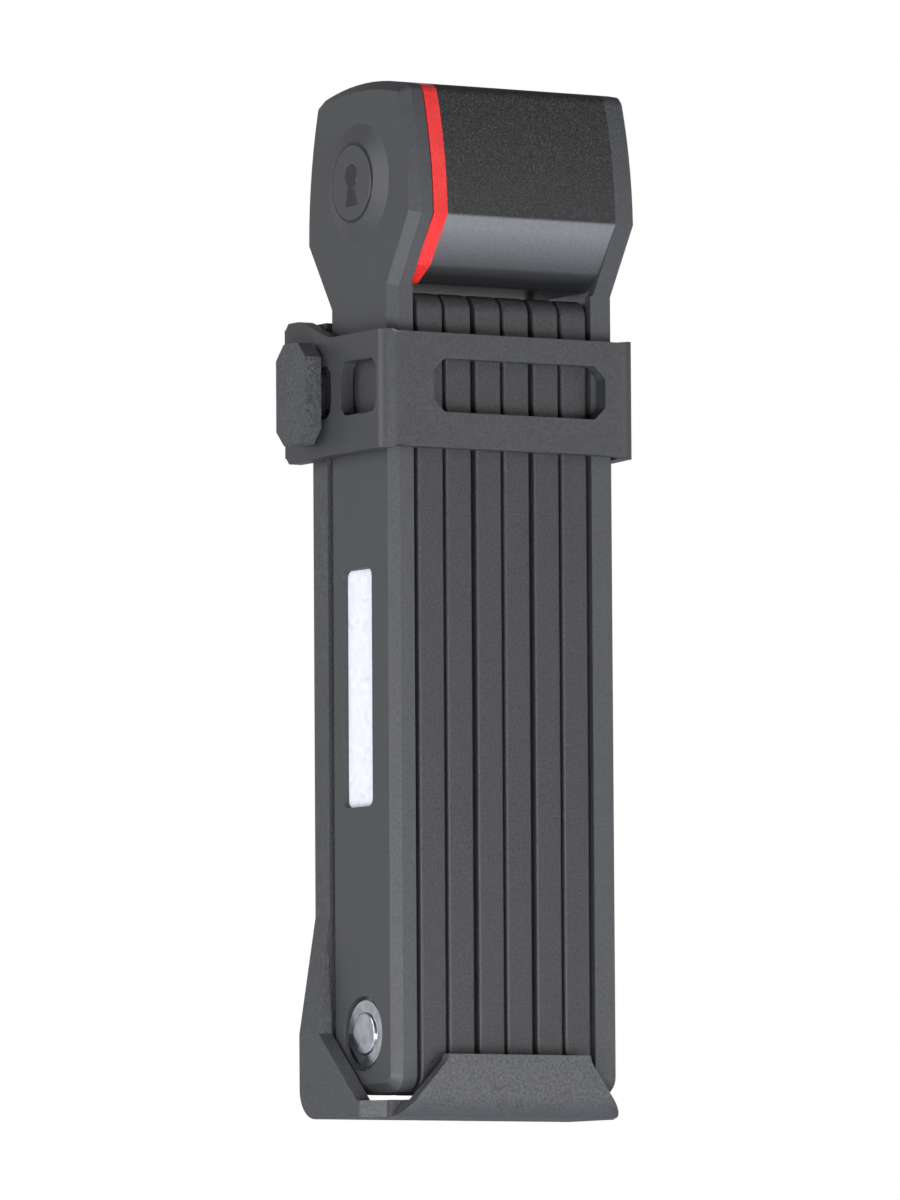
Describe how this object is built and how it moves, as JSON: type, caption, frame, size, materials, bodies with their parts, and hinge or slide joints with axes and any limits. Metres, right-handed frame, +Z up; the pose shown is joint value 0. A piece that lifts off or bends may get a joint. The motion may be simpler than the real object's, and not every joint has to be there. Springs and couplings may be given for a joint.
{
  "type": "folding bike lock",
  "caption": "Folding bike lock of hinged steel plates in a moulded frame holder, with a boxed lock head, a red ring and a rubber retaining strap.",
  "frame": {"origin": "middle of the two cage-bolt holes on the holder's rear mounting face", "axes": "+Z up along the plates, +Y out of the mounting face towards the bike frame, +X along the plate stack towards the keyway end"},
  "size_m": [0.0671, 0.044, 0.2023],
  "materials": {
    "holder_plastic": "fine-grained moulded nylon",
    "strap_rubber": "satin moulded rubber",
    "red_ring": "glossy red",
    "body_grain": "grained black",
    "arm_satin": "satin anthracite",
    "reflector": "white reflective film",
    "steel": "hardened steel",
    "brass": "plain",
    "rivet_chrome": "bright plated",
    "sleeve": "fine-grained black",
    "washer": "natural nylon",
    "zinc": "die-cast zinc",
    "trim": "smooth black"
  },
  "bodies": {
    "holder": {"holder": "holder_plastic"},
    "strap": {"strap_band": "strap_rubber"},
    "strap_end": {"strap_tail": "strap_rubber"},
    "lock_body": {"right_arm_cover": "arm_satin", "right_arm_plate": "steel", "right_reflector": "reflector", "body_shell": "body_grain", "body_core": "zinc", "accent_ring": "red_ring", "arm_screws": "steel", "cylinder_housing": "brass", "sidebar": "steel", "cylinder_retainer": "steel", "dust_cover_pin": "steel"},
    "key_cylinder": {"key_plug": "brass", "detainer_discs": "brass", "bolt_driver": "steel"},
    "bolt": {"locking_bolt": "steel"},
    "dust_cover": {"dust_cover": "trim"},
    "link_2": {"link_2_core": "steel", "link_2_sleeve": "sleeve", "rivet_2": "rivet_chrome", "washer_2": "washer"},
    "link_3": {"link_3_core": "steel", "link_3_sleeve": "sleeve", "rivet_3": "rivet_chrome", "washer_3": "washer"},
    "link_4": {"link_4_core": "steel", "link_4_sleeve": "sleeve", "rivet_4": "rivet_chrome", "washer_4": "washer"},
    "link_5": {"link_5_core": "steel", "link_5_sleeve": "sleeve", "rivet_5": "rivet_chrome", "washer_5": "washer"},
    "link_6": {"link_6_core": "steel", "link_6_sleeve": "sleeve", "rivet_6": "rivet_chrome", "washer_6": "washer"},
    "link_7": {"link_7_core": "steel", "link_7_sleeve": "sleeve", "rivet_7": "rivet_chrome", "washer_7": "washer"},
    "left_arm": {"left_arm_cover": "arm_satin", "left_arm_plate": "steel", "left_reflector": "reflector", "rivet_1": "rivet_chrome", "washer_1": "washer"}
  },
  "joints": [
    {"name": "lock_lift", "type": "slide", "parent": "holder", "child": "lock_body", "axis": [0, 0, 1], "range_m": [0, 0.42]},
    {"name": "strap_release", "type": "hinge", "parent": "holder", "child": "strap", "pos_m": [0.0302, -0.0035, 0.058], "axis": [0, 0, 1], "range_deg": [0, 75], "deforming": ["strap_band"]},
    {"name": "strap_tail_bend", "type": "hinge", "parent": "strap", "child": "strap_end", "pos_m": [-0.0259, -0.03105, 0.058], "axis": [0, 0, -1], "range_deg": [0, 90], "deforming": ["strap_tail"]},
    {"name": "key_turn", "type": "hinge", "parent": "lock_body", "child": "key_cylinder", "pos_m": [0.01, -0.0181, 0.0978], "axis": [1, 0, 0], "range_deg": [0, 90]},
    {"name": "bolt_slide", "type": "slide", "parent": "lock_body", "child": "bolt", "axis": [-1, 0, 0], "range_m": [0, 0.003]},
    {"name": "dust_cover_turn", "type": "hinge", "parent": "lock_body", "child": "dust_cover", "pos_m": [0.026, -0.0181, 0.0876], "axis": [1, 0, 0], "range_deg": [0, 110]},
    {"name": "hinge_7", "type": "hinge", "parent": "lock_body", "child": "link_7", "pos_m": [0, -0.0181, -0.0684], "axis": [1, 0, 0], "range_deg": [0, 102]},
    {"name": "hinge_6", "type": "hinge", "parent": "link_7", "child": "link_6", "pos_m": [0, -0.0181, 0.0642], "axis": [1, 0, 0], "range_deg": [-59, 0]},
    {"name": "hinge_5", "type": "hinge", "parent": "link_6", "child": "link_5", "pos_m": [0, -0.0181, -0.0684], "axis": [1, 0, 0], "range_deg": [-53, 0]},
    {"name": "hinge_4", "type": "hinge", "parent": "link_5", "child": "link_4", "pos_m": [0, -0.0181, 0.0642], "axis": [1, 0, 0], "range_deg": [0, 50]},
    {"name": "hinge_3", "type": "hinge", "parent": "link_4", "child": "link_3", "pos_m": [0, -0.0181, -0.0684], "axis": [1, 0, 0], "range_deg": [0, 82]},
    {"name": "hinge_2", "type": "hinge", "parent": "link_3", "child": "link_2", "pos_m": [0, -0.0181, 0.0642], "axis": [1, 0, 0], "range_deg": [-48, 0]},
    {"name": "hinge_1", "type": "hinge", "parent": "link_2", "child": "left_arm", "pos_m": [0, -0.0181, -0.0684], "axis": [1, 0, 0], "range_deg": [-76, 0]}
  ],
  "couplings": [
    {"joint": "strap_tail_bend", "follows": "strap_release", "ratio": 1.2},
    {"joint": "bolt_slide", "follows": "key_turn", "m_per_rad": 0.001909},
    {"joint": "hinge_7", "follows": "lock_lift", "rad_per_m": 4.19},
    {"joint": "hinge_6", "follows": "lock_lift", "rad_per_m": -2.41},
    {"joint": "hinge_5", "follows": "lock_lift", "rad_per_m": -2.13},
    {"joint": "hinge_4", "follows": "lock_lift", "rad_per_m": 2.02},
    {"joint": "hinge_3", "follows": "lock_lift", "rad_per_m": 3.36},
    {"joint": "hinge_2", "follows": "lock_lift", "rad_per_m": -1.92},
    {"joint": "hinge_1", "follows": "lock_lift", "rad_per_m": -3.11}
  ]
}
